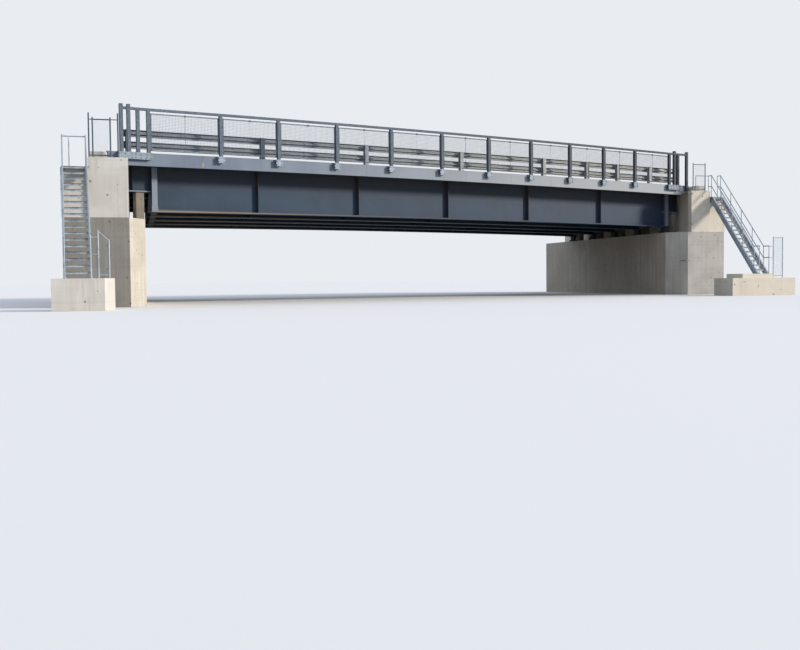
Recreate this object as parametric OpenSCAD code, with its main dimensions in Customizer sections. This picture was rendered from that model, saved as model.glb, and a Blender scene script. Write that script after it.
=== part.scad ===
// Plate girder canal bridge: five steel girders on two concrete abutments, set askew to the canal.
// Millimetres. X runs along the girders, Y across the deck, Z up. The near side is -Y.

/* [Layout] */
// Angle between the girders and a line square to the canal, in degrees
skew = 17.6; // [5:0.1:25]
// Clear width between the two abutment faces, square to the canal
clear_span = 23500; // [18000:100:26000]
// Height of the bearing seats above the foot of the abutments
seat_z = 2880; // [2400:10:3600]

/* [Deck] */
// Distance between neighbouring girders
girder_gap = 2400; // [2000:10:2700]
// Deck edge beyond the centre of the outer girder
overhang = 950; // [700:10:1300]
// Thickness of the concrete deck slab
slab_t = 300; // [200:5:360]
// Deck end behind the abutment face, square to the canal
deck_back = 1150; // [1000:10:1300]
// Rise of the deck and girders at the middle of the span
camber = 65; // [0:1:150]
// Height of the steel fascia along each deck edge
fascia_h = 427; // [380:1:520]
// Top of the fascia above the deck slab
fascia_lip = 34; // [10:1:60]
// Thickness of the fascia plate
fascia_t = 20; // [10:1:30]
// Width of the fascia's top lip, which laps over the slab
lip_w = 130; // [120:1:160]
// Length of the cut corner at each end of the fascia
fascia_cut_l = 540; // [300:10:700]
// Height of the cut corner at each end of the fascia
fascia_cut_h = 190; // [100:5:240]

/* [Girders] */
// Depth of the girders, over the flanges
girder_h = 1535; // [1300:5:1800]
// Girder soffit above the bearing seat
soffit_gap = 285; // [200:5:400]
// Width of the flanges
flange_w = 400; // [300:5:500]
// Thickness of the flanges
flange_t = 40; // [25:1:50]
// Thickness of the web
web_t = 16; // [10:1:25]
// Depth of the shallow nib at each girder end
nib_h = 870; // [700:5:1000]
// Width of the nib's lower flange
nib_w = 300; // [200:5:400]
// End post of the girders at the left, behind the abutment face
left_post_back = -285; // [-350:5:-200]
// End post of the girders at the right, behind the abutment face
right_post_back = 250; // [240:5:330]
// Girder end short of the deck end
girder_end_short = 60; // [40:5:100]
// Number of web panels between the end posts
panels = 6; // [4:1:8]
// Length of the first web panel from the left end post
first_panel = 3825; // [3000:5:4200]
// Thickness of the stiffener plates
stiffener_t = 20; // [12:1:30]
// Reach of a stiffener plate from the web
stiffener_w = 165; // [120:5:180]
// Width of the cap plate on the end posts
post_cap_w = 190; // [150:5:200]
// Width of the foot plate of an end post
post_foot_w = 220; // [205:5:240]
// Height of the foot plate of an end post
post_foot_h = 140; // [80:5:200]
// Nib stiffener past the centre of the pedestal
nib_stiffener_past = 230; // [180:5:250]
// Depth of a cross frame member
frame_bar = 90; // [60:5:120]
// Cross frame member size along the girders
frame_t = 80; // [50:5:120]
// First and last cross frame inside the end posts
frame_in = 400; // [250:10:600]
// Cross frames clear of the flanges
frame_drop = 120; // [80:5:200]
// Leg of the gusset plates in the corners of a cross frame
gusset = 240; // [150:5:320]

/* [Supports] */
// Pedestal centre behind the left abutment face
left_pedestal_back = 190; // [185:5:300]
// Pedestal centre behind the right abutment face
right_pedestal_back = 720; // [700:5:860]
// Pedestal width along the girders
pedestal_w = 270; // [220:5:275]
// Pedestal width across the girders
pedestal_d = 330; // [260:5:335]
// Thickness of the rubber pad on a pedestal
pad_t = 30; // [20:1:50]
// Share of the pedestal's width and depth that its pad covers
pad_share = 0.8; // [0.5:0.05:1]
// Length of the roller bearing under a right end post
bearing_w = 300; // [200:5:340]
// Base plate of a bearing beyond the roller's ends
bearing_past = 15; // [5:5:20]
// Thickness of a bearing's sole plate and base plate
sole_t = 30; // [20:1:40]
// Grout bed under a bearing
bed_t = 60; // [30:5:90]

/* [Abutments] */
// Thickness of the stem below the seats
stem_t = 2500; // [2300:10:2800]
// Length of the chamfer at the near corner, along the canal
chamfer_l = 880; // [500:10:1000]
// Depth of the left chamfer at the near corner, square to the canal
left_chamfer_d = 500; // [300:10:505]
// Depth of the right chamfer at the near corner, square to the canal
right_chamfer_d = 640; // [300:10:800]
// Near stem end outside the left deck corner, along the canal
left_end_gap = 30; // [20:5:200]
// Near stem end outside the right deck corner, along the canal
right_end_gap = 370; // [200:5:400]
// Stem and backwall beyond the far deck corner, along the canal
far_past = 2000; // [600:50:2500]
// Open joint between the deck end and the backwall
joint_gap = 60; // [40:5:100]
// Thickness of the backwall
backwall_t = 500; // [400:10:560]
// Thickness of the wing walls beside the deck
wing_t = 280; // [200:10:400]
// Front of the left wing walls behind the abutment face
left_wing_back = 505; // [500:5:800]
// Front of the right wing walls behind the abutment face
right_wing_back = 820; // [800:5:900]
// Length of the left near wing wall, square to the canal
left_wing_l = 1240; // [1150:5:1260]
// Length of the right near wing wall, square to the canal
right_wing_l = 955; // [800:5:1000]
// Height of the left wing walls above the seat
left_wing_h = 1910; // [1800:10:1910]
// Height of the right wing walls above the seat
right_wing_h = 1870; // [1800:10:2000]
// Return wall beyond the wing, where the stair lands
return_l = 840; // [820:5:900]
// Return wall set back from the wing's face
return_set = 100; // [50:5:150]

/* [Railing] */
// Height of the railing above the fascia
rail_h = 1441; // [1100:1:1600]
// Side of the square railing posts, which stand outside the fascia
post_w = 110; // [80:1:120]
// Height of the top rail
rail_d = 80; // [60:1:110]
// Width of the top rail
rail_w = 90; // [60:1:110]
// Extra height of the tall end posts
tall_extra = 90; // [40:5:150]
// Top bar of the mesh panels below the rail top
panel_drop = 155; // [120:5:200]
// Mesh panel foot above the fascia
panel_foot = 60; // [30:5:120]
// Thickness of the panel bars
bar_w = 30; // [20:1:40]
// Width of the thin upright in the middle of a mesh panel
mid_bar_w = 14; // [8:1:20]
// Mesh panel clear of the posts
panel_gap = 20; // [10:5:40]
// Length of the two plates that clamp a post to the fascia
bracket_l = 250; // [200:5:320]
// Height of the clamp plates
bracket_h = 225; // [160:5:240]
// Thickness of the clamp plates
bracket_t = 16; // [10:1:25]
// Top of the clamp plates below the fascia's top
bracket_drop = 9; // [0:1:40]

/* [Guard rail] */
// Guard rail face inside the deck edge
guard_in = 480; // [400:10:700]
// First guard post inside the left deck end
guard_left_in = 815; // [400:5:1200]
// Last guard post inside the right deck end
guard_right_in = 320; // [300:5:800]
// Beams past the first and the last guard post
beam_past = 240; // [100:5:280]
// Top of the guard posts above the deck
guard_post_h = 800; // [700:5:1000]
// Width of the guard posts' flanges, and their depth
guard_post_w = 150; // [100:5:180]
// Side of the square base plate of a guard post
guard_base_w = 220; // [200:5:240]
// Thickness of the base plate
guard_base_t = 30; // [15:1:40]
// Foot of the lower beam above the deck
guard_low = 205; // [120:5:250]
// Height of one beam
beam_h = 240; // [200:5:310]
// Clear gap between the two beams
beam_gap = 145; // [60:5:160]
// Depth of the beam's waves
beam_d = 80; // [50:1:100]
// Thickness of the beam's sheet
beam_t = 6; // [4:0.5:10]

/* [Stairs] */
// Stair beside the outer end of the wing wall
stair_gap = 12; // [8:1:30]
// Turn of the left stair towards the canal, in degrees
left_turn = 3.4; // [0:0.1:4]
// Width of the left stair over its stringers
left_stair_w = 800; // [700:5:805]
// Width of the right stair over its stringers
right_stair_w = 560; // [500:5:700]
// Height of the stair landings above the seat
landing_h = 1590; // [1400:5:1700]
// Height of one riser
riser = 197; // [170:1:200]
// Number of risers
risers = 18; // [14:1:19]
// Going of one tread
going = 195; // [180:1:225]
// Depth of the channel-section stringers
stringer_h = 250; // [200:5:280]
// Width of the stringers' flanges
stringer_w = 65; // [50:1:80]
// Thickness of the stringers' web and flanges
stringer_t = 12; // [8:1:16]
// Stringers above the line through the nosings
stringer_up = 30; // [10:1:60]
// Thickness of a tread
tread_t = 35; // [25:1:40]
// Depth of a tread from front to back
tread_d = 235; // [200:5:240]
// Height of a tread's nosing plate
nosing_h = 55; // [40:1:70]
// Handrail height above the nosings
handrail_h = 980; // [850:10:1100]
// Handrail tube diameter
handrail_d = 44; // [32:1:60]
// Handrail posts on each side of a stair
handrail_posts = 5; // [3:1:7]
// Handrail posts inside the outer edge of the stringer
handrail_in = 45; // [30:1:60]
// Single post in the left landing's rail, from the stair's canal side
landing_post_n = 550; // [300:10:600]
// Low rail on the right wing wall, from the stair towards the canal
low_rail_l = 607; // [300:1:700]
// Pad beyond the lowest handrail posts
pad_past = 35; // [25:5:300]
// Pad beyond the stair on the canal side
pad_in = 810; // [750:5:1000]
// Pad beyond the stair on the outer side
pad_out = 100; // [50:5:300]
// Cut corner of the left pad
pad_cut = 260; // [50:5:280]
// Lower step of the right pad below its top
pad_step = 180; // [100:5:300]
// Lower step of the right pad beyond the upper one, towards the canal
step_in = 600; // [200:5:900]
// Lower step of the right pad beyond the upper one, on the outer side
step_out = 950; // [900:5:1200]
// Lower step of the right pad beyond the upper one, at the front
step_past = 200; // [100:5:400]

/* [Wing fences] */
// Height of the fence panels on the wing walls
fence_h = 1275; // [1000:5:1500]
// Width of the left fence panel
left_fence_l = 545; // [400:5:700]
// Width of the right fence panel
right_fence_l = 617; // [400:5:680]
// Right fence panel behind the wing wall's front
right_fence_in = 161; // [60:1:200]
// Left fence panel inside the wing wall's outer end
left_fence_in = 165; // [120:5:250]
// Left taller post beyond the fence panel, towards the canal
left_fence_past = 235; // [100:5:300]
// Diameter of the fence tubes
fence_d = 48; // [32:1:60]
// Extra height of the single posts beside the left panel
single_extra = 140; // [50:5:300]
// Top and bottom tube inside the ends of the fence uprights
fence_bar_in = 70; // [40:5:150]
// Left foot panel beside the stair's handrail
left_foot_gap = 220; // [150:5:300]
// Width of the left foot panel
left_foot_l = 300; // [200:5:340]
// Height of the left foot panel at the stair
left_foot_h = 1390; // [1200:5:1600]
// Fall of the left foot panel's top
left_foot_fall = 275; // [0:5:400]
// Right foot panel beside the stair's handrail
right_foot_gap = 480; // [400:5:500]
// Width of the right foot panel
right_foot_l = 460; // [300:5:480]
// Height of the right foot panel
right_foot_h = 1760; // [1500:5:1900]
// Height of a foot panel's bottom tube
foot_bar_h = 90; // [50:5:200]

/* [Hidden] */

girders = 5;
// Railing bays from the left post group to the right one, in parts of the whole
bays = [2525, 2170, 2340, 2335, 2330, 2290, 2190, 2130, 1950, 1885, 2180];
// First and last bay post inside the deck ends
left_rail_in = 1348;
right_rail_in = 1397;
// Extra posts beyond the outer bays, from the bay's end post, and whether each is a tall one
left_group = [[350, false], [655, true], [897, true]];
right_group = [[328, true], [558, false], [1135, true]];
// Guard rail bays from the left, in parts of the whole
guard_bays = [4810, 4270, 4410, 4300, 2450, 1840, 2000, 1850];
camber_parts = 12;
// Overlap of the plates of one girder where they are welded
weld = 2;
gusset_t = 16;
nosing_t = 6;
// Posts and lesser tubes are this much thinner than the tube they carry
post_less = 8;
tie_d = 30;
// Ball fittings of the handrails are this much thicker than the tube
ball_past = 6;
// Diameter of the level rails across a landing
cross_d = 40;
// Lowest handrail posts beyond the stringers' toes
newel_gap = 40;
// Wedge under a handrail post: its length along the stringer, its width past the post and its edge
wedge_l = 60;
wedge_past = 2;
wedge_t = 8;
// Stringer heads past the wall face before they are cut to it
head_past = 60;
// Length of a stair pad, from its front to its back under the stair
pad_l = 1200;

half_clear = clear_span / 2;
half_w = girder_gap * (girders - 1) / 2 + overhang;
soffit_z = seat_z + soffit_gap;
slab_z = soffit_z + girder_h;
deck_z = slab_z + slab_t;
fascia_top = deck_z + fascia_lip;
fascia_low = fascia_top - fascia_h;
nib_z = slab_z - nib_h;
rail_top = fascia_top + rail_h;
landing_z = seat_z + landing_h;
backwall_back = deck_back + joint_gap;
reach = clear_span + 20000;

// Canal frame: n is square to the canal and c runs along it. These turn one frame into the other.
function across(x, y) = x * cos(skew) - y * sin(skew);
function x_at(n, y) = (n + y * sin(skew)) / cos(skew);
function c_at(n, y) = (y + n * sin(skew)) / cos(skew);
function to_x(n, c) = n * cos(skew) + c * sin(skew);
function to_y(n, c) = -n * sin(skew) + c * cos(skew);

// Camber at n, straight between stations
camber_step = clear_span / camber_parts;
function arc_rise(i) = camber * (1 - pow(2 * i / camber_parts - 1, 2));
function rise(n) =
    abs(n) >= half_clear ? 0 :
    let (i = floor((n + half_clear) / camber_step), f = (n + half_clear) / camber_step - i)
    arc_rise(i) * (1 - f) + arc_rise(i + 1) * f;
function lift(x, y) = rise(across(x, y));

// The first value at the left and the second at the right
function pick(side, left, right) = side < 0 ? left : right;
function wing_back(side) = pick(side, left_wing_back, right_wing_back);
function wing_l(side) = pick(side, left_wing_l, right_wing_l);
function wing_top(side) = seat_z + pick(side, left_wing_h, right_wing_h);
function stair_w(side) = pick(side, left_stair_w, right_stair_w);

// Ends of each stem along the canal
left_near_in = c_at(-half_clear - deck_back, -half_w - left_end_gap);
right_near_in = c_at(half_clear + right_wing_back, -half_w - right_end_gap);
left_far_in = c_at(-half_clear - left_wing_back, half_w + left_end_gap);
right_far_in = c_at(half_clear + deck_back, half_w + left_end_gap);
function near(side) = pick(side, left_near_in, right_near_in) - wing_t;
function far_in(side) = pick(side, left_far_in, right_far_in);
function far(side) = far_in(side) + far_past;

// Stair, measured outwards from its canal side and down from the face of the return wall
function stair_n(side) = half_clear + wing_back(side) + wing_l(side) + stair_gap;
stair_run = (risers - 1) * going + tread_d;
pad_top = landing_z - risers * riser;
stair_slope = riser / going;
// Lowest handrail posts, beyond the point where the top of a stringer meets the pad
newel_c = -tread_d - risers * going - stringer_up / stair_slope - newel_gap;
pad_near = newel_c - left_stair_w * sin(left_turn) - pad_past;

// Middle of the whole bridge, seen from above, which becomes the origin
stem_out = half_clear + stem_t;
function pad_end(side) = near(side) + return_set + pad_near - pick(side, 0, step_past);
function pad_outer(side) = stair_n(side) + stair_w(side) + pad_out + pick(side, 0, step_out);
corners = [
    for (side = [-1, 1])
        each [
            [side * stem_out, near(side)], [side * stem_out, far(side)], [side * half_clear, far(side)],
            [side * pad_outer(side), pad_end(side)], [side * stair_n(side), pad_end(side)],
        ],
];
x_list = [for (p = corners) to_x(p[0], p[1])];
y_list = [for (p = corners) to_y(p[0], p[1])];
mid_x = (min(x_list) + max(x_list)) / 2;
mid_y = (min(y_list) + max(y_list)) / 2;

concrete_color = "#c4bcab";
steel_color = "#4a5663";
post_color = "#7b8390";
fascia_color = "#8f9599";
zinc_color = "#9aa1a6";
rubber_color = "#2b2b2c";

// Centre the model over the origin
module place() {
    translate([-mid_x, -mid_y, 0])
        children();
}

// Draw in the canal frame
module canal() {
    rotate([0, 0, -skew])
        children();
}

// Box between two corners
module span_box(a, b) {
    translate(a)
        cube(b - a);
}

// Upright slab across the whole deck between two heights that follow the camber, from n0 to n1
module cambered(n0, n1, z0, z1) {
    stations = concat([n0], [for (i = [0:camber_parts]) -half_clear + i * camber_step], [n1]);
    count = len(stations);
    canal()
        rotate([90, 0, 0])
            linear_extrude(height = reach, center = true)
                polygon(concat(
                    [for (s = stations) [s, z0 + rise(s)]],
                    [for (i = [count - 1:-1:0]) [stations[i], z1 + rise(stations[i])]]));
}

// Solid between two heights that follows the camber, cut square between two lines on each axis
module strip(x0, x1, y0, y1, z0, z1) {
    intersection() {
        cambered(-reach / 2, reach / 2, z0, z1);
        span_box([x0, y0, z0 - camber], [x1, y1, z1 + 2 * camber]);
    }
}

// Solid between two heights that follows the camber, with ends parallel to the canal
module skew_strip(n0, n1, y0, y1, z0, z1) {
    intersection() {
        cambered(n0, n1, z0, z1);
        span_box([-reach, y0, z0 - camber], [reach, y1, z1 + 2 * camber]);
    }
}

// Mirror what is drawn for the right side over to the left, when side is -1
module on_side(side) {
    mirror([side < 0 ? 1 : 0, 0, 0])
        children();
}

// Abutment stem. side is -1 at the left and 1 at the right.
module stem(side) {
    chamfer_d = pick(side, left_chamfer_d, right_chamfer_d);
    color(concrete_color)
        canal()
            on_side(side)
                linear_extrude(height = seat_z)
                    polygon([
                        [half_clear + chamfer_d, near(side)],
                        [half_clear, near(side) + chamfer_l],
                        [half_clear, far(side)],
                        [stem_out, far(side)],
                        [stem_out, near(side)],
                    ]);
}

module backwall(side) {
    n = half_clear + backwall_back;
    color(concrete_color)
        canal()
            on_side(side)
                span_box([n, near(side) + wing_t, seat_z], [n + backwall_t, far(side), deck_z]);
}

// Wing wall beside the near deck edge, with the return wall that the stair lands on
module near_wing(side) {
    front = half_clear + wing_back(side);
    back = front + wing_l(side);
    c = near(side);
    color(concrete_color)
        canal()
            on_side(side) {
                span_box([front, c, seat_z], [back, c + wing_t, wing_top(side)]);
                translate([back, c + return_set, 0])
                    span_box([0, 0, seat_z], [return_l, wing_t, landing_z]);
            }
}

module far_wing(side) {
    front = half_clear + wing_back(side);
    c = far_in(side);
    color(concrete_color)
        canal()
            on_side(side)
                span_box([front, c, seat_z], [half_clear + backwall_back, c + wing_t, wing_top(side)]);
}

function girder_y(k) = (k - (girders + 1) / 2) * girder_gap;
function left_post(k) = x_at(-half_clear - left_post_back, girder_y(k));
function right_post(k) = x_at(half_clear + right_post_back, girder_y(k));
function left_end(k) = x_at(-half_clear - deck_back, girder_y(k)) + girder_end_short;
function right_end(k) = x_at(half_clear + deck_back, girder_y(k)) - girder_end_short;
function pedestal_x(side, k) =
    x_at(side * (half_clear + (side < 0 ? left_pedestal_back : right_pedestal_back)), girder_y(k));

module pedestals(side) {
    color(concrete_color)
        for (k = [1:girders])
            translate([pedestal_x(side, k) - pedestal_w / 2, girder_y(k) - pedestal_d / 2, seat_z])
                cube([pedestal_w, pedestal_d, nib_z - pad_t - seat_z]);
}

module bearings(side) {
    size = [pedestal_w * pad_share, pedestal_d * pad_share, pad_t];
    color(rubber_color)
        for (k = [1:girders])
            translate([pedestal_x(side, k) - size[0] / 2, girder_y(k) - size[1] / 2, nib_z - pad_t])
                cube(size);
}

// Plate centred on the bearing's middle, from height z
module bearing_plate(past, z, t) {
    w = bearing_w + 2 * past;
    translate([-w / 2, -w / 2, z])
        cube([w, w, t]);
}

// Roller bearings under the right end posts: grout bed, base plate, roller and sole plate
module end_bearings() {
    roller_d = soffit_gap - bed_t - 2 * sole_t + 2 * weld;
    color(rubber_color)
        for (k = [1:girders])
            translate([right_post(k), girder_y(k), seat_z]) {
                bearing_plate(bearing_past, 0, bed_t);
                bearing_plate(0, bed_t, sole_t);
                translate([0, 0, bed_t + sole_t - weld + roller_d / 2])
                    rotate([90, 0, 0])
                        cylinder(h = bearing_w, d = roller_d, center = true, $fn = 48);
                bearing_plate(bearing_past, soffit_gap - sole_t, sole_t);
            }
}

// Plate standing on one face of the web, from y0 to y1 out of the girder's middle
module face_plate(x0, x1, y, face, y0, y1, z0, z1) {
    strip(x0, x1, min(y + face * y0, y + face * y1), max(y + face * y0, y + face * y1), z0, z1);
}

// Web stiffener on one face of the web, from a height up to the top flange
module stiffener(x, y, face, z0) {
    face_plate(x - stiffener_t / 2, x + stiffener_t / 2, y, face, web_t / 2 - weld, web_t / 2 + stiffener_w,
        z0 - weld, slab_z - flange_t + weld);
}

// Shallow end of a girder from x0 to x1, with stiffeners over the pedestal. post is its end at the end post.
module nib(k, x0, x1, post, side) {
    y = girder_y(k);
    strip(x0, x1, y - web_t / 2, y + web_t / 2, nib_z + flange_t - weld, slab_z - flange_t + weld);
    strip(x0 + (post == x0 ? stiffener_t / 2 : 0), x1 - (post == x1 ? stiffener_t / 2 : 0),
        y - nib_w / 2, y + nib_w / 2, nib_z, nib_z + flange_t);
    x = pedestal_x(side, k) + side * nib_stiffener_past;
    for (face = [-1, 1])
        face_plate(x - stiffener_t / 2, x + stiffener_t / 2, y, face,
            web_t / 2 - weld, nib_w / 2 - stiffener_t, nib_z + flange_t - weld, slab_z - flange_t + weld);
}

// Plate girder number k, without its end posts
module girder(k) {
    y = girder_y(k);
    xl = left_post(k);
    xr = right_post(k);
    step = (xr - xl - first_panel) / (panels - 1);
    color(steel_color)
        union() {
            strip(xl - post_foot_w / 2, xr + post_foot_w / 2, y - flange_w / 2, y + flange_w / 2,
                soffit_z, soffit_z + flange_t);
            strip(left_end(k), right_end(k), y - flange_w / 2, y + flange_w / 2, slab_z - flange_t, slab_z);
            strip(xl - stiffener_t / 2, xr + stiffener_t / 2, y - web_t / 2, y + web_t / 2,
                soffit_z + flange_t - weld, slab_z - flange_t + weld);
            nib(k, left_end(k), xl, xl, -1);
            nib(k, xr, right_end(k), xr, 1);
            for (face = [-1, 1])
                for (i = [0:panels - 2])
                    stiffener(xl + first_panel + i * step, y, face, soffit_z + flange_t);
        }
}

// End post on one face of a girder: a plate out of the web, a cap plate on its edge and a foot plate
module end_post(x, y, face) {
    z0 = soffit_z + flange_t;
    z1 = slab_z - flange_t;
    cap = web_t / 2 + stiffener_w;
    face_plate(x - stiffener_t / 2, x + stiffener_t / 2, y, face, web_t / 2, cap + weld, z0, z1);
    face_plate(x - post_cap_w / 2, x + post_cap_w / 2, y, face, cap, cap + stiffener_t, z0, z1);
    face_plate(x - post_foot_w / 2, x + post_foot_w / 2, y, face, cap - weld, cap + stiffener_t + weld,
        z0, z0 + post_foot_h);
}

module end_posts() {
    color(post_color)
        for (k = [1:girders])
            for (x = [left_post(k), right_post(k)])
                for (face = [-1, 1])
                    end_post(x, girder_y(k), face);
}

module deck_slab() {
    color(concrete_color)
        skew_strip(-half_clear - deck_back, half_clear + deck_back,
            -half_w + fascia_t, half_w - fascia_t, slab_z, deck_z);
}

near_left_x = x_at(-half_clear - deck_back, -half_w);
near_right_x = x_at(half_clear + deck_back, -half_w);

// Steel fascia of the near edge, with a lip over the slab and cut lower corners
module fascia() {
    y = -half_w;
    color(fascia_color)
        difference() {
            union() {
                strip(near_left_x, near_right_x, y, y + fascia_t, fascia_low, fascia_top);
                strip(near_left_x, near_right_x, y + fascia_t, y + lip_w, deck_z, fascia_top);
            }
            for (e = [[near_left_x, 1], [near_right_x, -1]])
                translate([e[0], y - 1, fascia_low])
                    rotate([90, 0, 0])
                        translate([0, 0, -fascia_t - 1])
                            linear_extrude(height = fascia_t + 2)
                                polygon([[-e[1], -1], [e[1] * fascia_cut_l, -1], [-e[1], fascia_cut_h]]);
        }
}

// Far side: the near side turned half round
module far_side() {
    rotate([0, 0, 180])
        children();
}

function sum_to(list, n) = n == 0 ? 0 : list[n - 1] + sum_to(list, n - 1);
// Place i along a row of bays that starts at x0 and ends at x1
function bay_place(list, x0, x1, i) = x0 + (x1 - x0) * sum_to(list, i) / sum_to(list, len(list));
first_post = near_left_x + left_rail_in;
last_post = near_right_x - right_rail_in;
bay_posts = [for (i = [0:len(bays)]) bay_place(bays, first_post, last_post, i)];
tall_left = [for (g = left_group) if (g[1]) first_post - g[0]];
tall_right = [for (g = right_group) if (g[1]) last_post + g[0]];
low_left = [for (g = left_group) if (!g[1]) first_post - g[0]];
low_right = [for (g = right_group) if (!g[1]) last_post + g[0]];
low_posts = concat(low_left, bay_posts, low_right);
tall_posts = concat(tall_left, tall_right);

// Outer face of the posts' back clamp plate, and the top and foot of the plates
rail_y = -half_w - bracket_t;
bracket_top = fascia_top - bracket_drop;
bracket_foot = bracket_top - bracket_h;

// Square post on the clamp plates, up to z1
module rail_post(x, z1) {
    strip(x - post_w / 2, x + post_w / 2, rail_y - post_w, rail_y, bracket_foot, z1);
}

module rail_posts() {
    color(zinc_color) {
        for (x = low_posts)
            rail_post(x, rail_top - rail_d);
        for (x = tall_posts)
            rail_post(x, rail_top + tall_extra);
    }
}

// Plate behind the posts from x0 to x1, on the fascia
module back_plate(x0, x1) {
    strip(x0, x1, rail_y, -half_w, bracket_foot, bracket_top);
}

// Plates behind and in front of the posts from x0 to x1
module clamp(x0, x1) {
    back_plate(x0, x1);
    strip(x0, x1, rail_y - post_w - bracket_t, rail_y - post_w, bracket_foot, bracket_top);
}

module post_brackets() {
    end_post_x = max(tall_right);
    color(zinc_color) {
        for (i = [1:len(bays) - 1])
            clamp(bay_posts[i] - bracket_l / 2, bay_posts[i] + bracket_l / 2);
        clamp(min(tall_left) - post_w, first_post + post_w);
        clamp(last_post - post_w, max(low_right) + post_w);
        back_plate(end_post_x - post_w / 2, end_post_x + post_w / 2);
    }
}

// Rail stretches between the tall posts
rail_stops = concat([for (i = [len(tall_left) - 1:-1:0]) tall_left[i]], tall_right);

module top_rail() {
    y = rail_y - (post_w + rail_w) / 2;
    color(zinc_color)
        for (i = [0:len(rail_stops) - 2])
            strip(rail_stops[i] + post_w / 2, rail_stops[i + 1] - post_w / 2, y, y + rail_w,
                rail_top - rail_d, rail_top);
}

// Frame of a mesh panel between two posts, which it meets at both ends of its level bars
module mesh_panel(x0, x1) {
    y = rail_y - (post_w + bar_w) / 2;
    z0 = fascia_top + panel_foot;
    z1 = rail_top - panel_drop;
    mid = (x0 + x1) / 2;
    strip(x0, x1, y, y + bar_w, z0, z0 + bar_w);
    strip(x0, x1, y, y + bar_w, z1 - bar_w, z1);
    for (x = [x0 + panel_gap, x1 - panel_gap - bar_w])
        strip(x, x + bar_w, y, y + bar_w, z0, z1);
    strip(mid - mid_bar_w / 2, mid + mid_bar_w / 2, y, y + bar_w, z0, z1);
}

module mesh_panels() {
    color(zinc_color)
        for (i = [0:len(bays) - 1])
            mesh_panel(bay_posts[i] + post_w / 2, bay_posts[i + 1] - post_w / 2);
}

guard_y = -half_w + guard_in;
guard_first = near_left_x + guard_left_in;
guard_last = near_right_x - guard_right_in;
guard_posts_x = [for (i = [0:len(guard_bays)]) bay_place(guard_bays, guard_first, guard_last, i)];
beam_joint = 4;
guard_web = 10;
guard_flange = 12;

// I-section guard post on its base plate, turned with a flange to the road
module guard_post(x) {
    z0 = deck_z + guard_base_t - weld;
    z1 = deck_z + guard_post_h;
    y0 = guard_y - guard_post_w;
    half = guard_post_w / 2;
    strip(x - half, x + half, guard_y - guard_flange, guard_y, z0, z1);
    strip(x - guard_web / 2, x + guard_web / 2,
        y0 + guard_flange - weld, guard_y - guard_flange + weld, z0, z1);
    strip(x - half, x + half, y0, y0 + guard_flange, z0, z1);
    base_y = (guard_y + y0) / 2;
    base = guard_base_w / 2;
    strip(x - base, x + base, base_y - base, base_y + base, deck_z, deck_z + guard_base_t);
}

module guard_posts() {
    color(zinc_color)
        for (x = guard_posts_x)
            guard_post(x);
}

// Outline of a two-wave beam, in depth and height
function beam_line() = [
    [0, 0], [0.15, 0.02], [1, 0.14], [1, 0.28], [0.1, 0.42],
    [0.1, 0.58], [1, 0.72], [1, 0.86], [0.15, 0.98], [0, 1],
];

module beam_section() {
    line = [for (p = beam_line()) [p[0] * (beam_d - beam_t), p[1] * beam_h]];
    count = len(line);
    polygon(concat(line, [for (i = [count - 1:-1:0]) [line[i][0] + beam_t, line[i][1]]]));
}

// One straight beam length from x0 to x1, along the camber
module guard_beam(x0, x1, z) {
    z0 = z + lift(x0, guard_y);
    z1 = z + lift(x1, guard_y);
    translate([x0, guard_y, z0])
        rotate([0, -atan2(z1 - z0, x1 - x0), 0])
            rotate([90, 0, 90])
                linear_extrude(height = x1 - x0)
                    beam_section();
}

// Beams from post to post, with an open joint at each, and past the first and the last post
module guard_beams() {
    stops = concat([guard_first - beam_past], guard_posts_x, [guard_last + beam_past]);
    color(zinc_color)
        for (i = [0:len(stops) - 2])
            for (z = [deck_z + guard_low, deck_z + guard_low + beam_h + beam_gap])
                guard_beam(stops[i] + beam_joint / 2, stops[i + 1] - beam_joint / 2, z);
}

// Cross frame i between girders k and k + 1: two level bars, two braces to the middle and gusset plates
module cross_frame(k, i) {
    y0 = girder_y(k) + web_t / 2;
    y1 = girder_y(k + 1) - web_t / 2;
    xl = max(left_post(k), left_post(k + 1)) + frame_in;
    xr = min(right_post(k), right_post(k + 1)) - frame_in;
    x = xl + (xr - xl) * i / (panels - 1);
    mid = (y0 + y1) / 2;
    z0 = soffit_z + flange_t + frame_drop + lift(x, mid);
    z1 = slab_z - flange_t - frame_drop + lift(x, mid);
    span_box([x, y0, z0], [x + frame_t, y1, z0 + frame_bar]);
    span_box([x, y0, z1 - frame_bar], [x + frame_t, y1, z1]);
    low = z0 + frame_bar;
    high = z1 - frame_bar;
    for (side = [-1, 1]) {
        foot = mid + side * (y1 - y0) / 2;
        // Brace from the middle of the top bar to the foot at the web
        frame_plate(x, frame_t, [
            [mid, z1 - frame_bar / 2], [mid + side * frame_bar, z1 - frame_bar / 2], [foot, low],
            [foot, z0 + frame_bar / 2], [foot - side * frame_bar, z0 + frame_bar / 2],
        ]);
        // Gusset plates at the middle, the foot and the head
        frame_gusset(x, mid, high, side * gusset, -gusset / 2);
        frame_gusset(x, foot, low, -side * gusset, gusset);
        frame_gusset(x, foot, high, -side * gusset, -gusset);
    }
}

// Three-cornered gusset plate in the corner at y and z, with one leg across the deck and one upright
module frame_gusset(x, y, z, across_l, up_l) {
    frame_plate(x + (frame_t - gusset_t) / 2, gusset_t, [[y, z], [y + across_l, z], [y, z + up_l]]);
}

// Upright plate square to the girders from x, with its outline across the deck and up
module frame_plate(x, t, outline) {
    translate([x, 0, 0])
        rotate([90, 0, 90])
            linear_extrude(height = t)
                polygon(outline);
}

module cross_frames() {
    color(steel_color)
        for (k = [1:girders - 1])
            for (i = [0:panels - 1])
                cross_frame(k, i);
}

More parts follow.
